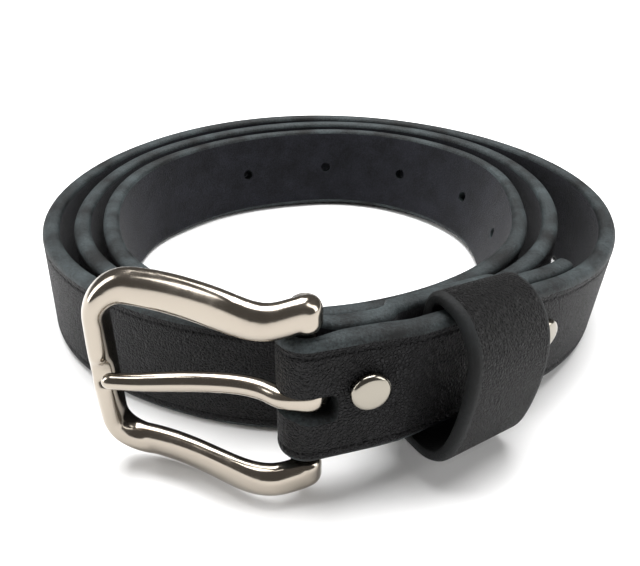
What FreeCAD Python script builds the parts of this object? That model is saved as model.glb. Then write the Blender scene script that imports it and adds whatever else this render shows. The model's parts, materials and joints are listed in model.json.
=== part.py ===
import FreeCAD, Part
import math
import os

# Leather belt, coiled for the shelf, standing on its lower edge. Millimetres, +Z up.
# Plan directions are measured from the middle of the coil; the buckle faces -Y.

V = FreeCAD.Vector
UP = V(0, 0, 1)

# Strap
strap_width = 25.4
strap_thickness = 4.0
fold_thickness = 3.0          # leather thinned where it turns round the heel bar
layer_gap = 0.3               # air between two faces of leather that are clamped together
hole_diameter = 3.2           # prong holes
hole_count = 5
hole_pitch = 30.3
first_hole_from_tip = 122.0
tip_point_length = 16.0
tip_point_bow = 2.2           # 1 for straight sides, more for sides that bow outwards
tip_end_width = 7.0

# Buckle
bar_radius = 1.9
bar_room = 0.2                # heel bar to the leather folded round it
side_room = 0.9               # strap edge to buckle arm, each side
arm_height = 7.3
arm_depth = 4.6
buckle_reach = 38.3           # heel bar axis to the far side of the front bar
front_bar_width = 4.4
outer_corner_radius = 10.0
inner_corner_radius = 3.2
end_radius = 3.3              # rounded arm ends that carry the heel bar

# Prong
prong_diameter = 3.6
ring_wall = 1.8
ring_running_gap = 0.05
prong_reach = 35.3
slot_side_room = 0.6
slot_end_room = 0.35
slot_corner_radius = 1.4

# Keeper loop
loop_thickness = 2.3
loop_width = 21.7
loop_clear = 0.3              # loop leather to strap leather, each side
loop_top_room = 0.65
loop_bottom_room = 1.45
loop_bulge = 6.2              # strap face to the inside of the loop's front
loop_seam = 0.4
staple_span = 9.0
staple_wire = 0.5
staple_flat = 1.1

# Rivets
rivet_cap_diameter = 7.2
rivet_cap_height = 1.9
rivet_cap_rounding = 0.8
rivet_tube_diameter = 3.0
rivet_pin_diameter = 1.9
rivet_hole_room = 0.05
rivet_seat_gap = 0.17
rivet_rise = 2.0              # rivets sit this far above mid-width

# Where things lie along the strap, from the heel bar
rivet_1_at = 9.3
bend_at = 17.5
loop_at = 23.2
rivet_2_at = 54.0
straight_until = 58.5
tab_length = 71.5

# Plan of the front of the belt
bar_plan = V(-4.7, -84.1, 0)
front_angle = 17.5            # direction of the strap as it leaves the buckle
loop_angle = 37.7             # direction of the strap through the loop
bend_radius = 15.0

# Plan of the coil. Each row: winding angle in degrees, radius of the grain face with every layer
# outside it taken as having no thickness, layers of strap outside it, layers of loop outside it.
coil = [
    (-44, 74.3, 0, 0), (-28, 74.4, 0, 0), (0, 73.5, 0, 0), (30, 70.6, 0, 0), (60, 69.2, 0, 0),
    (90, 70.0, 0, 0), (120, 70.5, 0, 0), (150, 70.6, 0, 0), (180, 72.9, 0, 0), (210, 75.3, 0, 0),
    (238, 73.5, 0, 0), (262, 70.9, 0, 0), (280, 75.4, 2, 0), (300, 74.1, 2, 1), (320, 70.1, 2, 0),
    (345, 64.6, 1, 0), (370, 64.9, 1, 0), (400, 66.4, 1, 0), (430, 66.6, 1, 0), (460, 66.0, 1, 0),
    (490, 66.0, 1, 0), (515, 67.8, 1, 0), (540, 69.4, 1, 0), (562, 71.8, 1, 0), (586, 73.3, 1, 0),
    (605, 72.2, 1, 0), (622, 70.4, 1, 0), (640, 75.0, 3, 0), (659, 73.7, 3, 1), (684, 63.9, 2, 0),
    (710, 60.7, 2, 0), (740, 61.9, 2, 0), (770, 62.3, 2, 0), (800, 62.2, 2, 0), (830, 61.3, 2, 0),
    (858, 62.7, 2, 0), (885, 66.0, 2, 0), (910, 67.8, 2, 0), (932, 70.3, 2, 0), (946, 72.4, 2, 0),
    (961, 72.0, 2, 0),
]
coil_step = 5.0

# Height of the strap's lower edge and outward lean of its face, along the strap
lift_points = [(0, 9.9), (7, 9.9), (14, 9.75), (20, 9.05), (30, 7.56), (40, 6.07), (50, 4.58),
               (58, 3.4), (70, 1.7), (82, 0.55), (95, 0.08), (110, 0.0)]
loop_fall = 0.149             # fall of the strap per millimetre where the loop sits
lean_points = [(0, 0.0), (10, 0.0), (20, 2.0), (50, 2.0), (85, 4.0), (130, 2.0), (180, 0.0),
               (300, 0.0), (345, -2.0), (400, -2.0), (440, 0.0), (860, 0.0), (905, 8.0),
               (955, 13.0), (995, 13.0), (1050, 11.0), (1095, 4.0), (1120, 0.0)]

fold_inner = bar_radius + bar_room
loop_space = loop_thickness + 2 * loop_clear
clamped = 3.1                 # layers lie flat together this far each side of a rivet
gap_points = [(0, 2 * fold_inner), (rivet_1_at - clamped, layer_gap), (rivet_1_at + clamped, layer_gap),
              (loop_at - 3.2, loop_space), (loop_at + loop_width + 0.9, loop_space),
              (rivet_2_at - clamped, layer_gap), (tab_length + 20, layer_gap)]
thickness_points = [(0, fold_thickness), (rivet_1_at - clamped, strap_thickness),
                    (tab_length + 20, strap_thickness)]


def smooth(pairs):
    """A smooth function through (x, value) pairs."""
    curve = Part.BSplineCurve()
    curve.interpolate(Points=[V(x, y, 0) for x, y in pairs], Parameters=[float(x) for x, y in pairs])
    return lambda x: curve.value(min(max(x, pairs[0][0]), pairs[-1][0])).y


def eased(pairs, x):
    """Level at each pair, with an easy slope from one to the next."""
    for (x0, y0), (x1, y1) in zip(pairs, pairs[1:]):
        if x <= x1:
            share = max(0.0, (x - x0) / (x1 - x0))
            return y0 + (y1 - y0) * share * share * (3 - 2 * share)
    return pairs[-1][1]


def heading(degrees):
    angle = math.radians(degrees)
    return V(math.cos(angle), math.sin(angle), 0)


def outward(direction):
    """Away from the middle of the coil, for a strap that runs along direction."""
    return V(direction.y, -direction.x, 0)


def coil_radii():
    rows = []
    for angle, free_radius, strap_layers, loop_layers in coil:
        buried = strap_layers * strap_thickness + loop_layers * loop_thickness
        rows.append((angle, free_radius - buried))
    return smooth(rows)


def grain_line():
    """Plan of the strap's grain face, from the heel bar to the tip."""
    start = bar_plan + outward(heading(front_angle)) * (fold_inner + fold_thickness)
    corner = start + heading(front_angle) * bend_at
    trim = bend_radius * math.tan(math.radians(loop_angle - front_angle) / 2)
    centre = corner - heading(front_angle) * trim - outward(heading(front_angle)) * bend_radius
    points = [start + heading(front_angle) * (bend_at - trim) * k / 5.0 for k in range(5)]
    for k in range(5):
        turn = front_angle + (loop_angle - front_angle) * k / 4.0
        points.append(centre + outward(heading(turn)) * bend_radius)
    straight = straight_until - bend_at - trim
    points += [corner + heading(loop_angle) * (trim + straight * k / 10.0) for k in range(1, 11)]
    radius = coil_radii()
    steps = int((coil[-1][0] - coil[0][0]) / coil_step)
    for k in range(steps + 1):
        angle = coil[0][0] + coil_step * k
        points.append(heading(angle) * radius(angle))
    curve = Part.BSplineCurve()
    curve.interpolate(points)
    return curve.toShape()


LINE = grain_line()
LIFT = smooth(lift_points)


def place_at(distance):
    """Point on the grain face at mid-width, direction along the strap, outward normal and up."""
    at = LINE.getParameterByLength(distance)
    point = LINE.valueAt(at)
    along = LINE.tangentAt(at)
    side = outward(along)
    lean = math.radians(eased(lean_points, distance))
    up = UP * math.cos(lean) + side * math.sin(lean)
    normal = side * math.cos(lean) - UP * math.sin(lean)
    lift = max(0.0, LIFT(distance)) + strap_thickness * max(0.0, -math.sin(lean))
    middle = point + UP * lift + (UP * math.cos(lean) - side * math.sin(lean)) * (strap_width / 2)
    return middle, along, normal, up


def tab_distances():
    count = 26
    return [tab_length * (1 - k / float(count)) for k in range(count)]


def main_distances():
    near = [3.0 * k for k in range(41)]
    end = LINE.Length - tip_point_length
    far = int((end - near[-1]) / 6.0)
    step = (end - near[-1]) / far
    point = [end + tip_point_length * k / 8.0 for k in range(1, 9)]
    return near + [near[-1] + step * k for k in range(1, far + 1)] + point


def half_width(distance):
    """Half the strap's width, which narrows to a rounded point at the tip."""
    share = max(0.0, 1 - (LINE.Length - distance) / tip_point_length)
    return strap_width / 2 - (strap_width - tip_end_width) / 2 * share ** tip_point_bow


def strap_sections():
    """Middle of the grain face, middle of the flesh face and half width upwards, tab's end to tip."""
    rows = []
    for distance in tab_distances():
        middle, along, normal, up = place_at(distance)
        thickness = eased(thickness_points, distance)
        flesh = middle - normal * (thickness + eased(gap_points, distance))
        rows.append((flesh - normal * thickness, flesh, up * (strap_width / 2)))
    middle, along, normal, up = place_at(0)
    axis = middle - normal * (fold_inner + fold_thickness)
    for k in range(9):
        turn = math.radians(180 - 180 * k / 9.0)
        spoke = normal * math.cos(turn) - along * math.sin(turn)
        grain = axis + spoke * (fold_inner + fold_thickness)
        rows.append((grain, axis + spoke * fold_inner, up * (strap_width / 2)))
    for distance in main_distances():
        middle, along, normal, up = place_at(distance)
        flesh = middle - normal * eased(thickness_points, distance)
        rows.append((middle, flesh, up * half_width(distance)))
    return rows


def strap_blank():
    """The bare strip: four long edges, the faces ruled between them and the two ends."""
    rows = strap_sections()
    corners = [[g + u for g, f, u in rows], [g - u for g, f, u in rows],
               [f - u for g, f, u in rows], [f + u for g, f, u in rows]]
    run = [0.0]
    for (g0, f0, u0), (g1, f1, u1) in zip(rows, rows[1:]):
        run.append(run[-1] + ((g1 + f1) - (g0 + f0)).Length / 2)
    edges = []
    for points in corners:
        curve = Part.BSplineCurve()
        curve.interpolate(Points=points, Parameters=run)
        edges.append(curve.toShape())
    faces = [Part.makeRuledSurface(edges[k], edges[(k + 1) % 4]) for k in range(4)]
    for end in (0, -1):
        ring = [points[end] for points in corners]
        faces.append(Part.Face(Part.makePolygon(ring + ring[:1])))
    shell = Part.makeShell(faces)
    shell.sewShape()
    solid = Part.makeSolid(shell)
    if solid.Volume < 0:
        solid.reverse()
    return solid


def slot_cutter():
    """Long slot over the fold, where the prong comes through both layers."""
    half = prong_diameter / 2 + slot_side_room
    reach = fold_inner + fold_thickness
    right = bar_radius + ring_running_gap + ring_wall + slot_end_room
    left = reach + 3
    along = heading(front_angle)
    middle = V(bar_plan.x, bar_plan.y, bar_height)
    box = Part.makeBox(left + right, 2 * reach + 6, 2 * half, V(-left, -reach - 3, -half))
    ends = [e for e in box.Edges if abs(e.BoundBox.XMin - right) < 0.01 and e.BoundBox.YLength > 1]
    box = box.makeFillet(slot_corner_radius, ends)
    box.rotate(V(0, 0, 0), UP, front_angle)
    box.translate(middle)
    return box


def punch(distance, diameter, depth, rise):
    """A round cutter through the strap, square to its face."""
    middle, along, normal, up = place_at(distance)
    return Part.makeCylinder(diameter / 2, depth + 2, middle + up * rise + normal, normal * -1)


def hole_distances():
    last = LINE.Length - first_hole_from_tip
    return [last - hole_pitch * k for k in range(hole_count)]


def make_strap():
    strap = strap_blank()
    rivet_hole_diameter = rivet_tube_diameter + 2 * rivet_hole_room
    cutters = [slot_cutter()]
    for distance in (rivet_1_at, rivet_2_at):
        cutters.append(punch(distance, rivet_hole_diameter, stack_depth(), rivet_rise))
    for distance in hole_distances():
        cutters.append(punch(distance, hole_diameter, strap_thickness, 0))
    for cutter in cutters:
        strap = strap.cut(cutter)
    return strap


def stack_depth():
    return 2 * strap_thickness + layer_gap


def rivet_disc():
    """A rivet head lying on the XY plane, with a rounded rim."""
    disc = Part.makeCylinder(rivet_cap_diameter / 2, rivet_cap_height)
    rim = [e for e in disc.Edges if abs(e.BoundBox.ZMin - rivet_cap_height) < 0.01
           and abs(e.BoundBox.ZMax - rivet_cap_height) < 0.01]
    return disc.makeFillet(rivet_cap_rounding, rim)


def stand_on(shape, foot, axis):
    """Turn a shape made along +Z so that it stands on foot, along axis."""
    turn = FreeCAD.Rotation(UP, axis)
    shape.Placement = FreeCAD.Placement(foot, turn)
    return shape


def make_rivet_cap(distance):
    """Outer head with the hollow tube that takes the pin."""
    middle, along, normal, up = place_at(distance)
    tube_length = 0.7 * stack_depth() + rivet_seat_gap
    tube = Part.makeCylinder(rivet_tube_diameter / 2, tube_length, V(0, 0, -tube_length))
    bore = Part.makeCylinder(rivet_pin_diameter / 2 + rivet_hole_room, tube_length, V(0, 0, -tube_length))
    foot = middle + up * rivet_rise + normal * rivet_seat_gap
    return stand_on(rivet_disc().fuse(tube).cut(bore), foot, normal)


def make_rivet_post(distance):
    """Inner head with the pin that is hammered into the tube."""
    middle, along, normal, up = place_at(distance)
    pin_length = stack_depth() + 2 * rivet_seat_gap - rivet_hole_room
    pin = Part.makeCylinder(rivet_pin_diameter / 2, pin_length, V(0, 0, -pin_length))
    foot = middle + up * rivet_rise - normal * (stack_depth() + rivet_seat_gap)
    return stand_on(rivet_disc().fuse(pin), foot, normal * -1)


bar_height = LIFT(0) + strap_width / 2 - 0.6
window_half = strap_width / 2 + side_room
buckle_half = window_half + arm_height

# Side profile of the buckle: middle of the metal, from the heel bar out to the front bar
profile_points = [(2.0, -0.6), (-2.0, -2.4), (-5.5, -3.3), (-9.0, -2.5), (-14.0, -0.2), (-20.0, 3.1),
                  (-26.0, 5.6), (-32.0, 6.7), (-41.0, 7.4)]


def buckle_side_slab():
    """The bent slab of metal that the frame is cut from."""
    shift = V(0, arm_depth / 2, 0)
    stretch = buckle_reach / 38.3
    knots = [V(x * stretch, y, 0) for x, y in profile_points]
    sides = []
    for offset in (shift * -1, shift):
        curve = Part.BSplineCurve()
        curve.interpolate([k + offset for k in knots])
        sides.append(curve.toShape())
    ends = [Part.makeLine(knots[k] - shift, knots[k] + shift) for k in (0, -1)]
    wire = Part.Wire(Part.__sortEdges__(sides + ends))
    slab = Part.Face(wire).extrude(UP * (2 * buckle_half + 4))
    slab.translate(UP * (-buckle_half - 2))
    return slab


def rounded_plate(x_low, x_high, half, radius, side_x):
    """Upright plate, corners rounded at the x given."""
    plate = Part.makeBox(x_high - x_low, 60, 2 * half, V(x_low, -30, -half))
    corners = [e for e in plate.Edges if abs(e.BoundBox.XMin - side_x) < 0.01
               and abs(e.BoundBox.XMax - side_x) < 0.01 and e.BoundBox.YLength > 50]
    return plate.makeFillet(radius, corners)


def make_buckle_frame():
    outer = rounded_plate(-buckle_reach, 1.5, buckle_half, outer_corner_radius, -buckle_reach)
    window_left = front_bar_width - buckle_reach
    window = rounded_plate(window_left, 20, window_half, inner_corner_radius, window_left)
    frame = buckle_side_slab().common(outer.cut(window))
    for foot in (window_half, -buckle_half):
        frame = frame.fuse(Part.makeCylinder(end_radius, arm_height, V(0, -0.6, foot)))
    bar = Part.makeCylinder(bar_radius, 2 * window_half + 2, V(0, 0, -window_half - 1))
    frame = frame.fuse(bar).removeSplitter()
    frame.translate(V(bar_plan.x, bar_plan.y, bar_height))
    return frame


def prong_line():
    """Middle line of the prong in plan, from the ring round the heel bar to its tip."""
    ring_middle = bar_radius + ring_running_gap + ring_wall / 2
    reach = prong_reach / 35.3
    points = [(0, -ring_middle), (-2.1, -2.9), (-4.2, -1.7), (-6.9, 0.1), (-10.2, 1.5), (-15.2, 2.3),
              (-20.0, 2.5), (-24.6, 2.4), (-29.3, 2.2), (-35.3, 2.5)]
    curve = Part.BSplineCurve()
    curve.interpolate([V(x * reach, y, 0) for x, y in points])
    return curve.toShape()


def prong_radius(distance):
    """Thin where the wire joins the ring, full along the shaft, a little thinner at the tip."""
    full = prong_diameter / 2
    return eased([(0, ring_wall / 2), (6.0, full), (24.0, full), (36.0, 0.84 * full)], distance)


def make_prong():
    line = prong_line()
    rings = []
    for k in range(15):
        distance = (line.Length - 0.001) * k / 14.0
        at = line.getParameterByLength(distance)
        circle = Part.Circle(line.valueAt(at), line.tangentAt(at), prong_radius(distance))
        rings.append(Part.Wire(circle.toShape()))
    shaft = Part.makeLoft(rings, True, False)
    inner = bar_radius + ring_running_gap
    eye = Part.makeCylinder(inner + ring_wall, prong_diameter, V(0, 0, -prong_diameter / 2))
    eye = eye.makeFillet(0.6, [e for e in eye.Edges if e.Length > 10])
    ball = Part.makeSphere(prong_radius(line.Length) + 0.03, line.valueAt(line.LastParameter))
    bore = Part.makeCylinder(inner, 2 * prong_diameter, V(0, 0, -prong_diameter))
    prong = eye.fuse(shaft).fuse(ball).cut(bore)
    prong.translate(V(bar_plan.x, bar_plan.y, bar_height))
    return prong


# Section of the loop's middle line: share of its depth outwards, share of its half height upwards
loop_section = [(0, -0.78), (0, -0.3), (0, 0.3), (0, 0.79), (0.025, 0.93), (0.11, 1.0), (0.28, 1.0),
                (0.48, 0.95), (0.69, 0.81), (0.89, 0.55), (0.99, 0.18), (1.0, -0.2), (0.95, -0.6),
                (0.81, -0.89), (0.56, -1.0), (0.3, -0.99), (0.13, -0.965), (0.03, -0.9)]


def loop_frame():
    """Mid-width of the strap face where the loop starts, the loop's way along, out and up."""
    middle, along, normal, up = place_at(loop_at)
    axis = V(along.x, along.y, -loop_fall)
    axis.normalize()
    rise = normal.cross(axis)
    rise.normalize()
    return middle, axis, normal, rise


def loop_ring(grow):
    """Closed line at the loop's start, offset by grow from the middle of its leather."""
    middle, axis, out, rise = loop_frame()
    back = -(strap_thickness + loop_clear + loop_thickness / 2)
    depth = loop_bulge + loop_thickness / 2 - back
    top = strap_width / 2 + loop_top_room + loop_thickness / 2
    bottom = strap_width / 2 + loop_bottom_room + loop_thickness / 2
    flat = [V(back + depth * a, (top if b > 0 else bottom) * b, 0) for a, b in loop_section]
    line = Part.BSplineCurve()
    line.interpolate(Points=flat, PeriodicFlag=True)
    shape = line.toShape()
    count = 60
    points = []
    for k in range(count):
        at = shape.getParameterByLength(shape.Length * k / count)
        tangent = shape.tangentAt(at)
        p = shape.valueAt(at) + V(-tangent.y, tangent.x, 0) * grow
        points.append(middle + out * p.x + rise * p.y)
    ring = Part.BSplineCurve()
    ring.interpolate(Points=points, PeriodicFlag=True)
    return Part.Wire(ring.toShape())


def loop_back_box(along_low, along_high, depth_low, depth_high, low, high):
    """Box in the loop's back run: along the loop, depth from its inner face, height."""
    middle, axis, out, rise = loop_frame()
    inner = -(strap_thickness + loop_clear)
    box = Part.makeBox(along_high - along_low, depth_high - depth_low, high - low)
    matrix = FreeCAD.Matrix(axis.x, -out.x, rise.x, 0, axis.y, -out.y, rise.y, 0,
                            axis.z, -out.z, rise.z, 0, 0, 0, 0, 1)
    corner = middle + axis * along_low + out * (inner - depth_low) + rise * low
    box.Placement = FreeCAD.Placement(corner, FreeCAD.Placement(matrix).Rotation)
    return box


def make_keeper_staple():
    """Flat wire across the seam at the loop's back, its legs turned over inside."""
    half = staple_span / 2
    middle = loop_width / 2
    low = middle - staple_flat / 2
    high = middle + staple_flat / 2
    crown = loop_back_box(low, high, loop_thickness - staple_wire, loop_thickness, -half, half)
    staple = crown
    for end in (-half, half - staple_wire):
        inner = end if end < 0 else end - 2.2
        staple = staple.fuse(loop_back_box(low, high, 0, loop_thickness, end, end + staple_wire))
        staple = staple.fuse(loop_back_box(low, high, 0, staple_wire, inner, inner + 2.2 + staple_wire))
    return staple.removeSplitter()


def make_keeper_loop(staple):
    middle, axis, out, rise = loop_frame()
    rings = [loop_ring(loop_thickness / 2), loop_ring(-loop_thickness / 2)]
    rings.sort(key=lambda ring: -ring.Length)
    outer, inner = [Part.Face(ring).extrude(axis * loop_width) for ring in rings]
    seam = loop_back_box(-3, loop_width + 3, -1.5, loop_thickness + 1.5, -loop_seam / 2, loop_seam / 2)
    return outer.cut(inner).cut(seam).cut(staple)


def main():
    staple = make_keeper_staple()
    parts = {
        "strap": make_strap(),
        "buckle_frame": make_buckle_frame(),
        "prong": make_prong(),
        "keeper_loop": make_keeper_loop(staple),
        "keeper_staple": staple,
        "front_rivet_cap": make_rivet_cap(rivet_1_at),
        "front_rivet_post": make_rivet_post(rivet_1_at),
        "rear_rivet_cap": make_rivet_cap(rivet_2_at),
        "rear_rivet_post": make_rivet_post(rivet_2_at),
    }
    whole = Part.makeCompound(list(parts.values())).BoundBox
    origin = V(whole.Center.x, whole.Center.y, whole.ZMin)
    os.makedirs("parts", exist_ok=True)
    for name, shape in parts.items():
        shape.translate(origin * -1)
        shape.exportStep("parts/" + name + ".step")
        box = shape.BoundBox
        print(name, shape.isValid(), len(shape.Solids), round(shape.Volume, 1),
              [round(c, 2) for c in (box.XMin, box.XMax, box.YMin, box.YMax, box.ZMin, box.ZMax)])
    print("origin", origin, "heel bar", bar_plan - origin, "length", LINE.Length)
    middle, axis, out, rise = loop_frame()
    print("loop axis", axis, "loop start", middle - origin)


main()
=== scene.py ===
import bmesh
import bpy
import json
import math
import numpy as np
from mathutils import Matrix, Vector


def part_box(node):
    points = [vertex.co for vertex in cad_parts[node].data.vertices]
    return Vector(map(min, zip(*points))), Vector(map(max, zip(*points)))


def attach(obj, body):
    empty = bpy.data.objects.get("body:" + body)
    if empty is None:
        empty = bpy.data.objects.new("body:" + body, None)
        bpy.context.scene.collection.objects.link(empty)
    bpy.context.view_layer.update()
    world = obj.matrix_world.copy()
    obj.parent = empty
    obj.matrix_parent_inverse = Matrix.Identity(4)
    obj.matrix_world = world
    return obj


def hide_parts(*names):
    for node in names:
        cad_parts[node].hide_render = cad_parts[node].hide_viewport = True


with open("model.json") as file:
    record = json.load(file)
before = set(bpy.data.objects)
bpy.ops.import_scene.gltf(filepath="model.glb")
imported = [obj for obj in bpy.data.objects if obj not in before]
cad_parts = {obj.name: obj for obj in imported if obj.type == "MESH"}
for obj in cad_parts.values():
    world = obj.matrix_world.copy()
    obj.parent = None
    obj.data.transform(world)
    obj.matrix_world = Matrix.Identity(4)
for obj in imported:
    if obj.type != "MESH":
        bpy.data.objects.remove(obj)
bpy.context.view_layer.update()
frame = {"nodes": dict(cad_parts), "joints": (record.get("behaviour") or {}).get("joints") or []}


# ---------------------------------------------------------------------------------------------
# The strap. One strip of 10 oz vegetable-tanned leather, dyed black, 25.4 mm wide and 4 mm thick.
# Its grain side is creased 2.8 mm in from both edges, the edges are bevelled and burnished, and
# the flesh side is left raw. It is folded round the heel bar, riveted, and wound into a coil.

MM = 0.001                            # the sizes below are in millimetres
half_width = 12.7


def natural_spline(knots, values, at):
    """Cubic spline through the values at the knots, natural at both ends."""
    x = np.asarray(knots, float)
    y = np.asarray(values, float).reshape(len(x), -1)
    h = np.diff(x)
    system = np.zeros((len(x), len(x)))
    right = np.zeros_like(y)
    system[0, 0] = system[-1, -1] = 1.0
    for k in range(1, len(x) - 1):
        system[k, k - 1:k + 2] = h[k - 1], 2 * (h[k - 1] + h[k]), h[k]
        right[k] = 6 * ((y[k + 1] - y[k]) / h[k] - (y[k] - y[k - 1]) / h[k - 1])
    bend = np.linalg.solve(system, right)
    at = np.clip(np.atleast_1d(at), x[0], x[-1])
    k = np.clip(np.searchsorted(x, at) - 1, 0, len(x) - 2)
    a = ((x[k + 1] - at) / h[k])[:, None]
    b = 1 - a
    curve = ((a ** 3 - a) * bend[k] + (b ** 3 - b) * bend[k + 1]) * (h[k] ** 2)[:, None] / 6
    return a * y[k] + b * y[k + 1] + curve


def eased(pairs, x):
    """Level at each pair, with an easy slope from one to the next."""
    for (x0, y0), (x1, y1) in zip(pairs, pairs[1:]):
        if x <= x1:
            share = max(0.0, (x - x0) / (x1 - x0))
            return y0 + (y1 - y0) * share * share * (3 - 2 * share)
    return pairs[-1][1]


def heading(degrees):
    angle = np.radians(degrees)
    return np.array([np.cos(angle), np.sin(angle)])


def outward(direction):
    return np.array([direction[1], -direction[0]])


# winding angle in degrees, radius of the grain face as if the layers outside it had no thickness,
# and how many layers of strap and of keeper lie outside it there
coil = [
    (-44, 74.3, 0, 0), (-28, 74.4, 0, 0), (0, 73.5, 0, 0), (30, 70.6, 0, 0), (60, 69.2, 0, 0),
    (90, 70.0, 0, 0), (120, 70.5, 0, 0), (150, 70.6, 0, 0), (180, 72.9, 0, 0), (210, 75.3, 0, 0),
    (238, 73.5, 0, 0), (262, 70.9, 0, 0), (280, 75.4, 2, 0), (300, 74.1, 2, 1), (320, 70.1, 2, 0),
    (345, 64.6, 1, 0), (370, 64.9, 1, 0), (400, 66.4, 1, 0), (430, 66.6, 1, 0), (460, 66.0, 1, 0),
    (490, 66.0, 1, 0), (515, 67.8, 1, 0), (540, 69.4, 1, 0), (562, 71.8, 1, 0), (586, 73.3, 1, 0),
    (605, 72.2, 1, 0), (622, 70.4, 1, 0), (640, 75.0, 3, 0), (659, 73.7, 3, 1), (684, 63.9, 2, 0),
    (710, 60.7, 2, 0), (740, 61.9, 2, 0), (770, 62.3, 2, 0), (800, 62.2, 2, 0), (830, 61.3, 2, 0),
    (858, 62.7, 2, 0), (885, 66.0, 2, 0), (910, 67.8, 2, 0), (932, 70.3, 2, 0), (946, 72.4, 2, 0),
    (961, 72.0, 2, 0),
]
lift = [(0, 9.9), (7, 9.9), (14, 9.75), (20, 9.05), (30, 7.56), (40, 6.07), (50, 4.58), (58, 3.4),
        (70, 1.7), (82, 0.55), (95, 0.08), (110, 0.0)]
lean = [(0, 0.0), (10, 0.0), (20, 2.0), (50, 2.0), (85, 4.0), (130, 2.0), (180, 0.0), (300, 0.0),
        (345, -2.0), (400, -2.0), (440, 0.0), (860, 0.0), (905, 8.0), (955, 13.0), (995, 13.0),
        (1050, 11.0), (1095, 4.0), (1120, 0.0)]
full_thickness, fold_thickness, fold_inner, keeper_thickness = 4.0, 3.0, 2.1, 2.3
front_angle, loop_angle, bend_radius = 17.5, 37.7, 15.0
bend_at, straight_until, tab_length = 17.5, 58.5, 71.5
rivet_1_at, rivet_2_at, loop_at, loop_width = 9.3, 54.0, 23.2, 21.7
clamped, pressed, pocket = 3.1, 0.3, 2.9     # reach each side of a rivet, air there, air at the keeper
gap = [(0, 2 * fold_inner), (rivet_1_at - clamped, pressed), (rivet_1_at + clamped, pressed),
       (loop_at - 3.2, pocket), (loop_at + loop_width + 0.9, pocket), (rivet_2_at - clamped, pressed),
       (tab_length + 20, pressed)]
thinning = [(0, fold_thickness), (rivet_1_at - clamped, full_thickness), (tab_length + 20, full_thickness)]
bar = np.array([-4.7, -84.1])         # heel bar, from the middle of the coil

start = bar + outward(heading(front_angle)) * (fold_inner + fold_thickness)
corner = start + heading(front_angle) * bend_at
trim = bend_radius * math.tan(math.radians(loop_angle - front_angle) / 2)
bend_centre = corner - heading(front_angle) * trim - outward(heading(front_angle)) * bend_radius
route = [start + heading(front_angle) * (bend_at - trim) * k / 5 for k in range(5)]
route += [bend_centre + outward(heading(front_angle + (loop_angle - front_angle) * k / 4)) * bend_radius
          for k in range(5)]
route += [corner + heading(loop_angle) * (trim + (straight_until - bend_at - trim) * k / 10)
          for k in range(1, 11)]
turns = np.arange(coil[0][0], coil[-1][0] + 0.1, 5.0)
grain_radii = [free - full_thickness * layers - keeper_thickness * loops
               for a, free, layers, loops in coil]
radii = natural_spline([row[0] for row in coil], grain_radii, turns)[:, 0]
route += [heading(a) * r for a, r in zip(turns, radii)]
route = np.array(route)
spacing = np.r_[0, np.cumsum(np.linalg.norm(np.diff(route, axis=0), axis=1))]
fine = natural_spline(spacing, route, np.linspace(0, spacing[-1], 12000))
run = np.r_[0, np.cumsum(np.linalg.norm(np.diff(fine, axis=0), axis=1))]
strap_length = run[-1]


def place_at(distance):
    """Middle of the grain face, direction, outward normal and up, at a distance from the fold."""
    here = np.array([np.interp(distance, run, fine[:, k]) for k in (0, 1)])
    low, high = max(distance - 0.4, 0), min(distance + 0.4, strap_length)
    along = np.array([np.interp(high, run, fine[:, k]) - np.interp(low, run, fine[:, k])
                      for k in (0, 1)])
    along /= np.linalg.norm(along)
    side = np.r_[outward(along), 0]
    along = np.r_[along, 0]
    tilt = math.radians(eased(lean, distance))
    rise = max(0.0, natural_spline([s for s, z in lift], [z for s, z in lift], distance)[0, 0])
    rise += full_thickness * max(0.0, -math.sin(tilt))
    up = np.array([0, 0, math.cos(tilt)]) + side * math.sin(tilt)
    normal = side * math.cos(tilt) - np.array([0, 0, math.sin(tilt)])
    middle = np.r_[here, rise + half_width * math.cos(tilt)] - side * (half_width * math.sin(tilt))
    return middle, along, normal, up


# Half of the strap's section: height above mid-width, depth below the grain face, finish
GRAIN, EDGE, FLESH = 0, 1, 2
half_section = [(0.0, 0.0, GRAIN), (3.4, 0.0, GRAIN), (6.8, 0.0, GRAIN), (9.2, 0.0, GRAIN),
                (9.55, 0.03, GRAIN), (9.75, 0.16, GRAIN), (9.92, 0.24, GRAIN), (10.09, 0.16, GRAIN),
                (10.3, 0.03, GRAIN), (10.7, -0.03, GRAIN), (11.2, 0.0, GRAIN), (11.65, 0.12, EDGE),
                (12.1, 0.42, EDGE), (12.42, 0.86, EDGE), (12.6, 1.4, EDGE), (12.66, 2.1, EDGE),
                (12.6, 2.8, EDGE), (12.4, 3.35, EDGE), (12.0, 3.75, EDGE), (11.4, 3.95, FLESH),
                (10.4, 4.0, FLESH), (7.5, 4.0, FLESH), (3.8, 4.0, FLESH), (0.0, 4.0, FLESH)]
lower_section = [(-u, d, f) for u, d, f in half_section[::-1][1:-1]]
ring = half_section + lower_section
ring_u = np.array([u for u, d, f in ring])
ring_d = np.array([d for u, d, f in ring])


def finish_between(section):
    """Finish of the face from each point of a section to the next: an edge wins over a face."""
    def finish(k):
        a, b = section[k][2], section[(k + 1) % len(section)][2]
        return EDGE if EDGE in (a, b) else a
    return finish


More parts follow.
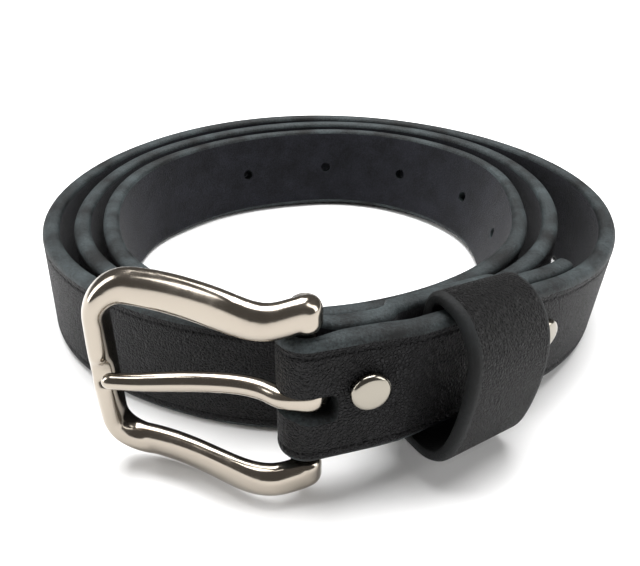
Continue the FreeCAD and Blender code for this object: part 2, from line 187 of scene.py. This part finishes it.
tip_length, tip_half_width, tip_bow = 16.0, 3.5, 2.2
fold_steps = 25
rows = []                              # grain middle, inward normal, up, thickness, half width
for distance in np.linspace(tab_length, 1.0, 72):
    middle, along, normal, up = place_at(distance)
    thickness = eased(thinning, distance)
    grain = middle - normal * (2 * thickness + eased(gap, distance))
    rows.append((grain, normal, up, thickness, half_width))
middle, along, normal, up = place_at(0)
axis = middle - normal * (fold_inner + fold_thickness)
for k in range(fold_steps):
    turn = math.radians(180 - 180 * k / fold_steps)
    spoke = normal * math.cos(turn) - along * math.sin(turn)
    grain = axis + spoke * (fold_inner + fold_thickness)
    rows.append((grain, -spoke, up, fold_thickness, half_width))
near = np.arange(0, 90, 1.0)
tip_from = strap_length - tip_length
far = np.linspace(90, tip_from, int((tip_from - 90) / 1.9))
tip = strap_length - tip_length * (1 - np.linspace(0, 1, 20)[1:]) ** 1.4     # closer near the end
for distance in np.concatenate([near, far, tip]):
    middle, along, normal, up = place_at(distance)
    share = max(0.0, 1 - (strap_length - distance) / tip_length)
    half = half_width - (half_width - tip_half_width) * share ** tip_bow
    rows.append((middle, -normal, up, eased(thinning, distance), half))

points = []
for grain, inward, up, thickness, half in rows:
    width = ring_u * half / half_width
    depth = np.where(ring_d > 1.4, thickness - (full_thickness - ring_d), ring_d)
    points.append(grain + np.outer(depth, inward) + np.outer(width, up))
points = np.array(points)
low, high = (np.array(c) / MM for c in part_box("strap"))
shift = np.array([(low[0] + high[0]) / 2 - (points[:, :, 0].min() + points[:, :, 0].max()) / 2,
                  (low[1] + high[1]) / 2 - (points[:, :, 1].min() + points[:, :, 1].max()) / 2,
                  low[2] - points[:, :, 2].min()])


def to_frame(p):
    """From millimetres about the middle of the coil to metres in the model's frame."""
    return (np.asarray(p) + shift) * MM


def linear(hex_colour):
    """sRGB hex to linear, with alpha 1."""
    parts = [int(hex_colour[k:k + 2], 16) / 255 for k in (0, 2, 4)]
    return [c / 12.92 if c <= 0.04045 else ((c + 0.055) / 1.055) ** 2.4 for c in parts] + [1.0]


def add(material, kind, inputs=(), **settings):
    """Add a node with its settings; inputs are (socket, value or output to link) pairs."""
    tree = material.node_tree
    made = tree.nodes.new(kind)
    for name, value in settings.items():
        setattr(made, name, value)
    for socket, value in inputs:
        if isinstance(value, bpy.types.NodeSocket):
            tree.links.new(value, made.inputs[socket])
        else:
            made.inputs[socket].default_value = value
    return made


def new_material(name):
    """An empty node material with its shader and output joined."""
    material = bpy.data.materials.new(name)
    material.use_nodes = True
    material.node_tree.nodes.clear()
    shader = add(material, "ShaderNodeBsdfPrincipled")
    add(material, "ShaderNodeOutputMaterial", [("Surface", shader.outputs[0])])
    return material, shader


def toned(material, value, low, high):
    """Colours by a value, from one (position, hex) to another."""
    made = add(material, "ShaderNodeValToRGB", [("Fac", value)])
    for element, (position, colour) in zip(made.color_ramp.elements, (low, high)):
        element.position = position
        element.color = linear(colour)
    return made


def leather_grain(name, dark, light, roughness):
    """Dyed full-grain leather: pebbles about 0.7 mm across between fine creases, pores, a little
    mottling in the dye, painted shade in the creases, and a low waxed sheen that breaks up over the pebbles."""
    material, shader = new_material(name)
    link = material.node_tree.links.new
    place = add(material, "ShaderNodeTexCoord").outputs["Object"]
    warp = add(material, "ShaderNodeTexNoise", [("Vector", place), ("Scale", 1 / (1.6 * MM)),
                                                ("Detail", 2.0)])
    bent = add(material, "ShaderNodeMixRGB", [("Fac", 0.45 * MM), ("Color1", place),
                                              ("Color2", warp.outputs["Color"])], blend_type="ADD")
    pebble = add(material, "ShaderNodeTexVoronoi", [("Vector", bent.outputs[0]),
                                                    ("Scale", 1 / (0.7 * MM))], feature="DISTANCE_TO_EDGE")
    crease = add(material, "ShaderNodeMapRange", [("Value", pebble.outputs["Distance"]),
                                                  ("From Max", 0.25)])
    pore = add(material, "ShaderNodeTexNoise", [("Vector", place), ("Scale", 1 / (0.3 * MM)),
                                                ("Detail", 3.0)])
    cloud = add(material, "ShaderNodeTexNoise", [("Vector", place), ("Scale", 1 / (14 * MM)),
                                                 ("Detail", 5.0), ("Roughness", 0.6)])
    tone = toned(material, cloud.outputs["Fac"], (0.3, dark), (0.72, light))
    # painted shade: the colour is darkened by up to half in the creases between the pebbles
    painted_crease_shade = add(material, "ShaderNodeMixRGB", [("Fac", 0.5), ("Color1", tone.outputs[0]),
                                              ("Color2", crease.outputs[0])], blend_type="MULTIPLY")
    link(painted_crease_shade.outputs[0], shader.inputs["Base Color"])
    gloss = add(material, "ShaderNodeMapRange", [("Value", pore.outputs["Fac"]), ("From Min", 0.3),
                                                 ("From Max", 0.7), ("To Min", roughness - 0.07),
                                                 ("To Max", roughness + 0.12)])
    link(gloss.outputs[0], shader.inputs["Roughness"])
    fine_bump = add(material, "ShaderNodeBump", [("Height", pore.outputs["Fac"]), ("Strength", 0.6),
                                                 ("Distance", 0.12 * MM)])
    bump = add(material, "ShaderNodeBump", [("Height", crease.outputs[0]), ("Strength", 1.0),
                                            ("Distance", 0.42 * MM), ("Normal", fine_bump.outputs[0])])
    link(bump.outputs[0], shader.inputs["Normal"])
    shader.inputs["IOR"].default_value = 1.5
    shader.inputs["Specular IOR Level"].default_value = 0.21
    return material


def leather_edge(name, dark, light, fibre):
    """Cut edge of the leather, bevelled, dyed and burnished with wax: a shade cooler and paler than
    the grain, with short fibre marks, a little rubbed."""
    material, shader = new_material(name)
    link = material.node_tree.links.new
    place = add(material, "ShaderNodeTexCoord").outputs["Object"]
    marks = add(material, "ShaderNodeTexNoise", [("Vector", place), ("Scale", 1 / (fibre * MM)),
                                                 ("Detail", 8.0), ("Roughness", 0.75)])
    rubbed = add(material, "ShaderNodeTexNoise", [("Vector", place), ("Scale", 1 / (9 * MM)),
                                                  ("Detail", 3.0)])
    both = add(material, "ShaderNodeMath", [(0, marks.outputs["Fac"]), (1, rubbed.outputs["Fac"])],
               operation="MULTIPLY")
    tone = toned(material, both.outputs[0], (0.17, dark), (0.4, light))
    link(tone.outputs[0], shader.inputs["Base Color"])
    bump = add(material, "ShaderNodeBump", [("Height", marks.outputs["Fac"]), ("Strength", 0.8),
                                            ("Distance", 0.3 * MM)])
    link(bump.outputs[0], shader.inputs["Normal"])
    shader.inputs["Roughness"].default_value = 0.6
    shader.inputs["IOR"].default_value = 1.5
    shader.inputs["Specular IOR Level"].default_value = 0.25
    return material


def leather_flesh(name, dark, light):
    """Raw flesh side: matt suede with a nap of short fibres, blotched where the dye took unevenly."""
    material, shader = new_material(name)
    link = material.node_tree.links.new
    place = add(material, "ShaderNodeTexCoord").outputs["Object"]
    nap = add(material, "ShaderNodeTexNoise", [("Vector", place), ("Scale", 1 / (0.5 * MM)),
                                               ("Detail", 8.0), ("Roughness", 0.7)])
    blotch = add(material, "ShaderNodeTexNoise", [("Vector", place), ("Scale", 1 / (8 * MM)),
                                                  ("Detail", 5.0), ("Roughness", 0.65)])
    both = add(material, "ShaderNodeMath", [(0, nap.outputs["Fac"]), (1, blotch.outputs["Fac"])],
               operation="MULTIPLY")
    tone = toned(material, both.outputs[0], (0.12, dark), (0.42, light))
    link(tone.outputs[0], shader.inputs["Base Color"])
    bump = add(material, "ShaderNodeBump", [("Height", nap.outputs["Fac"]), ("Strength", 0.8),
                                            ("Distance", 0.35 * MM)])
    link(bump.outputs[0], shader.inputs["Normal"])
    shader.inputs["Roughness"].default_value = 0.95
    shader.inputs["Specular IOR Level"].default_value = 0.2
    shader.inputs["Sheen Weight"].default_value = 0.06
    shader.inputs["Sheen Roughness"].default_value = 0.5
    return material


strap_finishes = [leather_grain("black_waxed_full_grain_leather", "070709", "111014", 0.54),
                  leather_edge("burnished_leather_edge", "0c0e0f", "3c4446", 0.55),
                  leather_flesh("raw_leather_flesh_side", "0a0b0e", "212229")]


def mesh_object(name, verts, faces, finishes, indices=None, smooth_angle=38):
    """A mesh object from metres, with its finishes, shaded smooth up to an angle."""
    mesh = bpy.data.meshes.new(name)
    mesh.from_pydata([tuple(v) for v in verts], [], faces)
    for finish in finishes:
        mesh.materials.append(finish)
    mesh.polygons.foreach_set("use_smooth", [True] * len(mesh.polygons))
    if indices is not None:
        mesh.polygons.foreach_set("material_index", indices)
    mesh.update()
    mesh.set_sharp_from_angle(angle=math.radians(smooth_angle))
    made = bpy.data.objects.new(name, mesh)
    bpy.context.scene.collection.objects.link(made)
    return made


def swept(name, sections, finishes, finish_of=None, closed=False, smooth_angle=38):
    """Skin a list of rings of equal length, with caps at both ends unless the sweep closes."""
    count, ring_size = len(sections), len(sections[0])
    verts = np.concatenate(sections)
    faces, indices = [], []
    for i in range(count if closed else count - 1):
        a, b = i * ring_size, ((i + 1) % count) * ring_size
        for k in range(ring_size):
            n = (k + 1) % ring_size
            faces.append((a + k, b + k, b + n, a + n))
            indices.append(finish_of(k) if finish_of else 0)
    if not closed:
        last = (count - 1) * ring_size
        faces += [tuple(range(ring_size)), tuple(range(last + ring_size - 1, last - 1, -1))]
        indices += [min(EDGE, len(finishes) - 1)] * 2
    return mesh_object(name, verts, faces, finishes, indices, smooth_angle)


def apply_modifiers(piece):
    """Keep the mesh as its modifiers leave it."""
    graph = bpy.context.evaluated_depsgraph_get()
    mesh = bpy.data.meshes.new_from_object(piece.evaluated_get(graph))
    piece.modifiers.clear()
    piece.data = mesh


def cut(piece, cutters, finishes, finish):
    """Take the cutters out of the piece; the fresh walls get the finish given."""
    for cutter in cutters:
        for material in finishes:
            cutter.data.materials.append(material)
        cutter.data.polygons.foreach_set("material_index", [finish] * len(cutter.data.polygons))
        step = piece.modifiers.new("cut", "BOOLEAN")
        step.operation, step.solver, step.object = "DIFFERENCE", "EXACT", cutter
    apply_modifiers(piece)
    for cutter in cutters:
        bpy.data.objects.remove(cutter)
    piece.data.polygons.foreach_set("use_smooth", [True] * len(piece.data.polygons))
    piece.data.set_sharp_from_angle(angle=math.radians(38))


strap = swept("strap_leather", [to_frame(p) for p in points], strap_finishes, finish_between(ring))

hole_radius, hole_count, hole_pitch, first_hole_from_tip = 1.55, 5, 30.3, 122.0
punches = []
for k in range(hole_count):
    middle, along, normal, up = place_at(strap_length - first_hole_from_tip - hole_pitch * k)
    circle = [hole_radius * (along * math.cos(t) + up * math.sin(t))
              for t in np.linspace(0, 2 * math.pi, 25)[:-1]]
    sides = [[to_frame(middle + normal * reach + c) for c in circle] for reach in (1.0, -5.0)]
    punches.append(swept("punch", sides, []))

# the slot runs over the fold, where the prong comes through both layers
slot_half, slot_right, slot_left, slot_corner = 2.4, 4.0, 8.1, 1.4
along = np.r_[heading(front_angle), 0]
side = np.r_[outward(heading(front_angle)), 0]
slot_middle = np.r_[bar, lift[0][1] + half_width - 0.6]
outline = [(-slot_left, slot_half), (-slot_left, -slot_half)]
for sign in (-1, 1):
    for k in range(7):
        t = math.radians(90 * k / 6)
        spread = (math.sin(t), math.cos(t)) if sign < 0 else (math.cos(t), math.sin(t))
        outline.append((slot_right - slot_corner + slot_corner * spread[0],
                        sign * (slot_half - slot_corner + slot_corner * spread[1])))
sides = [[to_frame(slot_middle + side * reach + along * x + np.array([0, 0, z])) for x, z in outline]
         for reach in (9.0, -9.0)]
slot = swept("slot_cutter", sides, [])
# its mouth opens wider towards the grain face, more below the prong than above
lips = [[to_frame(slot_middle + side * reach + along * x * grow + np.array([0, 0, z * tall - drop]))
         for x, z in outline] for reach, grow, tall, drop in ((5.6, 1.05, 1.3, 0.5), (4.0, 1.0, 1.0, 0.0))]
slot_lip = swept("slot_lip_cutter", lips, [])
cut(strap, punches + [slot, slot_lip], strap_finishes, EDGE)
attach(strap, "strap")
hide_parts("strap")


# ---------------------------------------------------------------------------------------------
# The buckle frame. A heel-bar buckle cast in zinc alloy and nickel plated: two rounded arms and a
# front bar in one piece, with a saddle in the front bar where the prong comes to rest. The heel
# bar runs between the hooked ends of the arms.

def polished_nickel(name, colour, roughness):
    """Bright nickel over a polished casting: a warm white metal, very slightly hazed."""
    material, shader = new_material(name)
    link = material.node_tree.links.new
    place = add(material, "ShaderNodeTexCoord").outputs["Object"]
    haze = add(material, "ShaderNodeTexNoise", [("Vector", place), ("Scale", 0.35 / MM), ("Detail", 5.0)])
    spread = add(material, "ShaderNodeMapRange", [("Value", haze.outputs["Fac"]), ("From Min", 0.35),
                                                  ("From Max", 0.7), ("To Min", roughness * 0.8),
                                                  ("To Max", roughness * 1.25)])
    link(spread.outputs[0], shader.inputs["Roughness"])
    ripple = add(material, "ShaderNodeTexNoise", [("Vector", place), ("Scale", 0.26 / MM),
                                                  ("Detail", 2.0)])
    bump = add(material, "ShaderNodeBump", [("Height", ripple.outputs["Fac"]), ("Strength", 0.08),
                                            ("Distance", 0.3 * MM)])
    link(bump.outputs[0], shader.inputs["Normal"])
    shader.inputs["Base Color"].default_value = linear(colour)
    shader.inputs["Metallic"].default_value = 1.0
    return material


nickel = polished_nickel("polished_nickel_plate", "9d958a", 0.17)
hinge = next(j for j in frame["joints"] if j["name"] == "buckle_swing")
bar_spot = np.array(hinge["pos_m"]) / MM
window_half, arm_height, reach, front_bar_width = 13.6, 7.3, 38.3, 4.4
outer_half = window_half + arm_height
outer_corner, inner_corner = 10.0, 3.4
front_taper, front_bow, end_drop, waist_depth = 0.7, 0.25, 0.7, 0.9
arm_start = 0.5                       # just past the heel bar's axis
arm_front, arm_back, bar_extra = 2.35, 2.1, 1.3
# middle of the metal in side view: distance from the heel bar, then depth
profile = [(3.0, -0.6), (-2.0, -2.8), (-5.5, -4.0), (-9.0, -3.5), (-14.0, -1.0), (-20.0, 2.4),
           (-26.0, 5.1), (-32.0, 6.8), (-41.0, 7.6)]


def buckle_path():
    """Pairs of points, (x, z) on the outside and (x, z) on the inside, over the upper half."""
    pairs = []
    for k in range(26):
        t = k / 25
        x = arm_start - t * (reach - outer_corner + arm_start)
        waist = waist_depth * math.exp(-((x + 6.0) / 4.5) ** 2)
        pairs.append(((x, outer_half - front_taper * t ** 3 - waist - end_drop * (1 - t) ** 6),
                      (arm_start - t * (reach - front_bar_width - inner_corner + arm_start), window_half)))
    for k in range(1, 17):
        t = math.radians(90 * k / 16)
        pairs.append(((outer_corner - reach - outer_corner * math.sin(t),
                       outer_half - front_taper - outer_corner + outer_corner * math.cos(t)),
                      (inner_corner + front_bar_width - reach - inner_corner * math.sin(t),
                       window_half - inner_corner + inner_corner * math.cos(t))))
    for k in range(1, 20):
        t = k / 20
        pairs.append(((-reach - front_bow * math.sin(t * math.pi / 2),
                       (outer_half - front_taper - outer_corner) * (1 - t)),
                      (front_bar_width - reach, (window_half - inner_corner) * (1 - t))))
    pairs.append(((-reach - front_bow, 0.0), (front_bar_width - reach, 0.0)))
    return pairs


def buckle_ring(outer, inner):
    """Section of the casting between an outer and an inner point: full at the front, flat behind."""
    outer, inner = np.array(outer), np.array(inner)
    middle = (outer + inner) / 2
    half = (outer - inner) / 2
    depth_at = natural_spline([x for x, y in profile[::-1]], [y for x, y in profile[::-1]], middle[0])[0, 0]
    crossing = min(1.0, max(0.0, (-middle[0] - 30.0) / 5.0))
    height = abs(middle[1])
    saddle = crossing * math.exp(-(height / 2.4) ** 4)
    section = []
    for k in range(28):
        t = 2 * math.pi * k / 28
        across = math.copysign(abs(math.cos(t)) ** 0.85, math.cos(t))
        fore = math.sin(t)
        seat = saddle * (0.35 + 0.8 * min(1.0, max(0.0, 0.75 - across)))
        front = arm_front + bar_extra * crossing - seat
        y = depth_at - front * fore if fore > 0 else depth_at + arm_back * abs(fore) ** 0.6
        at = middle + half * across
        section.append(bar_spot + np.array([at[0], y, at[1]]))
    return section


upper = [buckle_ring(outer, inner) for outer, inner in buckle_path()]
mirror = [buckle_ring((outer[0], -outer[1]), (inner[0], -inner[1])) for outer, inner in buckle_path()[-2::-1]]
casting = swept("buckle_casting", [np.array(section) * MM for section in upper + mirror], [nickel])


def turned(name, outline, base, axis, finishes, count=48):
    """A turned shape: outline of (radius, height) about an axis from base."""
    axis = np.asarray(axis) / np.linalg.norm(axis)
    across = np.cross(axis, [0, 0, 1] if abs(axis[2]) < 0.9 else [1, 0, 0])
    across /= np.linalg.norm(across)
    third = np.cross(axis, across)
    sections = [[base + axis * h + r * (across * math.cos(t) + third * math.sin(t))
                 for t in np.linspace(0, 2 * math.pi, count + 1)[:-1]] for r, h in outline]
    return swept(name, [np.array(section) * MM for section in sections], finishes)


end_radius, heel_bar_radius = 2.9, 1.9
blends = []
for way in (1, -1):
    rounding = [(0.3, 0.0), (end_radius - 1.4, 0.0), (end_radius - 0.4, 0.4), (end_radius, 1.4),
                (end_radius, arm_height - 3.0), (end_radius - 0.5, arm_height - 1.9),
                (end_radius - 1.5, arm_height - 1.3), (0.3, arm_height - 1.2)]
    foot = bar_spot + np.array([-0.1, -1.2, way * window_half])
    blends.append(turned("arm_end", rounding, foot, (0, 0, way), [nickel]))
blends.append(turned("heel_bar", [(heel_bar_radius, 0.0), (heel_bar_radius, 2 * window_half + 2)],
                     bar_spot - np.array([0, 0, window_half + 1]), (0, 0, 1), [nickel]))
lump = bmesh.new()
for piece in [casting] + blends:
    lump.from_mesh(piece.data)
bmesh.ops.recalc_face_normals(lump, faces=lump.faces)
lump.to_mesh(casting.data)
lump.free()
for blend in blends:
    bpy.data.objects.remove(blend)
step = casting.modifiers.new("skin", "REMESH")
step.mode, step.voxel_size, step.use_smooth_shade = "VOXEL", 0.34 * MM, True
step = casting.modifiers.new("polish", "SMOOTH")
step.factor, step.iterations = 0.5, 9
apply_modifiers(casting)
casting.data.polygons.foreach_set("use_smooth", [True] * len(casting.data.polygons))
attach(casting, "buckle")
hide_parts("buckle_frame")


# ---------------------------------------------------------------------------------------------
# The prong. Nickel-plated wire 3.6 mm thick, bent in a shallow S so that it comes out of the slot
# and lies across the front bar. Its thinned end is curled round the heel bar and turns on it.

prong_wire = [(-35.5, 2.5), (-33.0, 2.35), (-29.3, 2.2), (-24.6, 2.4), (-20.0, 2.5), (-15.2, 2.3),
              (-10.2, 1.5), (-6.9, 0.1), (-4.2, -1.7), (-2.1, -2.6)]
wire_radius, eye_wall_half, eye_radius = 1.8, 0.95, 3.0
eye_turn = range(-90, 166, 15)        # the curl, in degrees about the heel bar
prong_wire += [(eye_radius * math.cos(math.radians(a)), eye_radius * math.sin(math.radians(a)))
               for a in eye_turn]
prong_wire = np.array(prong_wire)
wire_run = np.r_[0, np.cumsum(np.linalg.norm(np.diff(prong_wire, axis=0), axis=1))]
samples = np.r_[np.linspace(0, 1.0, 6)[:-1], np.linspace(1.0, wire_run[-1], 110)]
centre = natural_spline(wire_run, prong_wire, samples)
slope = np.gradient(centre, samples, axis=0)
rings = []
eye_from = wire_run[-len(eye_turn)]
for spot, direction, distance in zip(centre, slope, samples):
    direction = direction / np.linalg.norm(direction)
    across = np.array([-direction[1], direction[0], 0])
    slim = eased([(0, 0.8), (14, 1.0), (80, 1.0)], distance)
    round_end = math.sqrt(max(0.02, 1 - (1 - min(1.0, distance / 1.7)) ** 2))
    flat = eased([(0, wire_radius), (eye_from - 6.0, wire_radius), (eye_from + 0.5, eye_wall_half),
                  (80, eye_wall_half)], distance)
    squareness = eased([(0, 1.0), (eye_from - 6.0, 1.0), (eye_from + 1.0, 0.7), (80, 0.7)], distance)
    ring_points = []
    for t in np.linspace(0, 2 * math.pi, 29)[:-1]:
        c = math.copysign(abs(math.cos(t)) ** squareness, math.cos(t))
        s = math.copysign(abs(math.sin(t)) ** squareness, math.sin(t))
        ring_points.append(bar_spot + np.array([spot[0], spot[1], 0])
                           + (across * c * flat + np.array([0, 0, wire_radius]) * s) * slim * round_end)
    rings.append(np.array(ring_points) * MM)
prong = swept("prong_wire", rings, [nickel], smooth_angle=60)
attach(prong, "prong")
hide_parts("prong")


# ---------------------------------------------------------------------------------------------
# The rivets. Two double-cap rivets of nickel-plated steel hold the fold: the tube of the outer cap
# passes through both layers and the pin of the inner cap is hammered into it.

cap_outline = [(0.2, 0.0), (2.6, 0.0), (3.3, 0.1), (3.52, 0.35), (3.6, 0.8), (3.55, 1.2),
               (3.38, 1.52), (3.1, 1.74), (2.75, 1.84), (2.4, 1.88), (1.6, 1.92), (0.8, 1.94),
               (0.15, 1.95)]
stems = {"cap": 1.5, "post": 0.95}    # radius of the tube and of the pin
rivet_rise, seat, stem_length = 2.0, 0.02, 5.0
bright = polished_nickel("bright_nickel_rivet", "8c877d", 0.16)
for name, distance in (("front", rivet_1_at), ("rear", rivet_2_at)):
    middle, along, normal, up = place_at(distance)
    middle = middle + up * rivet_rise
    stack = 2 * full_thickness + pressed
    for part, foot, axis in (("cap", middle + normal * seat, normal),
                             ("post", middle - normal * (stack + seat), -normal)):
        head = turned("%s_rivet_%s_head" % (name, part), cap_outline, foot + shift, axis, [bright])
        stem = turned("%s_rivet_%s_stem" % (name, part), [(stems[part], 0.2), (stems[part], -stem_length)],
                      foot + shift, axis, [bright])
        stem.parent = head
        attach(head, "strap")
        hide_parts("%s_rivet_%s" % (name, part))


# ---------------------------------------------------------------------------------------------
# The keeper loop. A band of 2.3 mm leather, grain side out, whose ends meet behind the strap and
# are caught between strap and fold-back. It stands off the strap so that the belt's end can pass.

loop_section = [(0, -0.78), (0, -0.3), (0, 0.3), (0, 0.79), (0.025, 0.93), (0.11, 1.0), (0.28, 1.0),
                (0.48, 0.95), (0.69, 0.81), (0.89, 0.55), (0.99, 0.18), (1.0, -0.2), (0.95, -0.6),
                (0.81, -0.89), (0.56, -1.0), (0.3, -0.99), (0.13, -0.965), (0.03, -0.9)]
loop_back, loop_front = -5.45, 7.35
loop_top, loop_bottom = 14.5, 15.3
loop_fall = 0.149                     # of the strap, per millimetre, where the loop sits
flat_line = np.array([(loop_back + (loop_front - loop_back) * a, (loop_top if b > 0 else loop_bottom) * b)
                      for a, b in loop_section])
wrapped = np.concatenate([flat_line[-4:], flat_line, flat_line[:5]])
wrapped_run = np.r_[0, np.cumsum(np.linalg.norm(np.diff(wrapped, axis=0), axis=1))]
first, last = wrapped_run[4], wrapped_run[4 + len(flat_line)]
around = np.linspace(first, last, 161)[:-1]
loop_line = natural_spline(wrapped_run, wrapped, around)
loop_slope = np.gradient(natural_spline(wrapped_run, wrapped, np.linspace(first - 1, last + 1, 400)),
                         axis=0)
loop_slope = np.array([[np.interp(a, np.linspace(first - 1, last + 1, 400), loop_slope[:, k])
                        for k in (0, 1)] for a in around])
middle, along, normal, up = place_at(loop_at)
loop_axis = np.array([along[0], along[1], -loop_fall])
loop_axis /= np.linalg.norm(loop_axis)
loop_rise = np.cross(normal, loop_axis)
loop_rise /= np.linalg.norm(loop_rise)

# section of the band: place across its width, depth from its grain side, finish
band = [(0.0, 1.2, EDGE), (0.0, 0.75, EDGE), (0.35, 0.3, EDGE), (0.8, 0.05, EDGE), (1.4, 0.0, GRAIN)]
band += [(x, 0.0, GRAIN) for x in np.linspace(3.5, loop_width - 3.5, 8)]
band += [(loop_width - 1.4, 0.0, GRAIN), (loop_width - 0.8, 0.05, EDGE), (loop_width - 0.35, 0.3, EDGE),
         (loop_width, 0.75, EDGE), (loop_width, 1.2, EDGE), (loop_width, 1.9, EDGE),
         (loop_width - 0.2, 2.2, EDGE), (loop_width - 0.6, keeper_thickness, FLESH)]
band += [(x, keeper_thickness, FLESH) for x in np.linspace(loop_width - 4, 4, 6)]
band += [(0.6, keeper_thickness, FLESH), (0.2, 2.2, EDGE), (0.0, 1.9, EDGE)]

# the keeper's finishes are darker copies of the strap's leather: painted shade, deepest on the flesh inside
# the loop and on the edges
shaded_loop_finishes = [leather_grain("keeper_grain_with_painted_shade", "050506", "0c0b0d", 0.58),
                 leather_edge("keeper_edge_with_painted_shade", "040505", "101416", 0.6),
                 leather_flesh("keeper_flesh_with_painted_shade", "050607", "0f1013")]
rings = []
for spot, direction in zip(loop_line, loop_slope):
    direction = direction / np.linalg.norm(direction)
    out = np.array([direction[1], -direction[0]])
    if out @ (spot - np.array([1.0, -0.5])) < 0:
        out = -out
    ring_points = []
    for x, depth, finish in band:
        p = spot + out * (keeper_thickness / 2 - depth)
        ring_points.append(middle + loop_axis * x + normal * p[0] + loop_rise * p[1])
    rings.append(to_frame(ring_points))
keeper = swept("keeper_band", rings, shaded_loop_finishes, finish_between(band), closed=True)
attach(keeper, "keeper")
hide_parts("keeper_loop")


# ---------------------------------------------------------------------------------------------
# The staple. Flat steel wire across the seam at the back of the loop, pulled flush into the
# leather. The model's own solid is kept and given a drawn-wire finish.

def drawn_steel(name):
    """Drawn and flattened steel wire: grey, with a fine uneven sheen."""
    material, shader = new_material(name)
    place = add(material, "ShaderNodeTexCoord").outputs["Object"]
    lines = add(material, "ShaderNodeTexNoise", [("Vector", place), ("Scale", 3.0 / MM), ("Detail", 3.0)])
    spread = add(material, "ShaderNodeMapRange", [("Value", lines.outputs["Fac"]), ("To Min", 0.25),
                                                  ("To Max", 0.5)])
    material.node_tree.links.new(spread.outputs[0], shader.inputs["Roughness"])
    shader.inputs["Base Color"].default_value = linear("a9a9a8")
    shader.inputs["Metallic"].default_value = 1.0
    return material


staple_wire = drawn_steel("drawn_steel_wire")
staple = frame["nodes"]["keeper_staple"]
for k in range(len(staple.data.materials)):
    staple.data.materials[k] = staple_wire


# ---------------------------------------------------------------------------------------------
# The studio: a pale floor, soft light from both sides and above, and the camera.

paper, paper_shader = new_material("white_paper_sweep")
paper_grain = add(paper, "ShaderNodeTexNoise", [("Scale", 4.0), ("Detail", 3.0)])
paper_tone = add(paper, "ShaderNodeValToRGB", [("Fac", paper_grain.outputs["Fac"])])
paper_tone.color_ramp.elements[0].color = linear("f6f6f6")
paper_tone.color_ramp.elements[1].color = linear("fafafa")
paper.node_tree.links.new(paper_tone.outputs[0], paper_shader.inputs["Base Color"])
paper_shader.inputs["Roughness"].default_value = 0.9
corners = [(-3, -3, 0), (3, -3, 0), (3, 3, 0), (-3, 3, 0)]
floor = mesh_object("studio_floor", corners, [(0, 1, 2, 3)], [paper])
floor.location.z = -0.2 * MM


def softbox(name, place, target, size, power):
    light = bpy.data.lights.new(name, "AREA")
    light.shape, light.size, light.size_y, light.energy = "RECTANGLE", size[0], size[1], power
    made = bpy.data.objects.new(name, light)
    made.location = place
    made.rotation_euler = (Vector(target) - Vector(place)).to_track_quat("-Z", "Y").to_euler()
    bpy.context.scene.collection.objects.link(made)


softbox("left_softbox", (-0.8, -0.1, 0.35), (0, 0, 0.02), (0.35, 0.7), 5.0)
softbox("right_softbox", (0.8, -0.2, 0.4), (0, 0, 0.02), (0.35, 0.7), 4.0)
softbox("overhead_softbox", (0.0, 0.25, 1.0), (0, 0, 0), (1.0, 0.8), 26.0)
world = bpy.data.worlds.new("studio_grey")
world.use_nodes = True
world.node_tree.nodes["Background"].inputs["Color"].default_value = linear("8a8784")
world.node_tree.nodes["Background"].inputs["Strength"].default_value = 0.6
bpy.context.scene.world = world
bpy.context.scene.view_settings.view_transform = "Standard"

camera_data = bpy.data.cameras.new("camera")
camera_data.sensor_width = 36.0
camera_data.lens = 37.15
camera_data.clip_start = 0.01
camera = bpy.data.objects.new("camera", camera_data)
camera.location = to_frame((-2.5, -171.5, 94.7))
pitch, roll = math.radians(30.376), math.radians(0.4675)
forward = Vector((0, math.cos(pitch), -math.sin(pitch)))
right = Vector((1, 0, 0))
top = right.cross(forward)
right_rolled = math.cos(roll) * right + math.sin(roll) * top
top_rolled = -math.sin(roll) * right + math.cos(roll) * top
turn = [[right_rolled[k], top_rolled[k], -forward[k]] for k in range(3)]
camera.rotation_euler = Matrix(turn).to_euler()
bpy.context.scene.collection.objects.link(camera)
bpy.context.scene.camera = camera
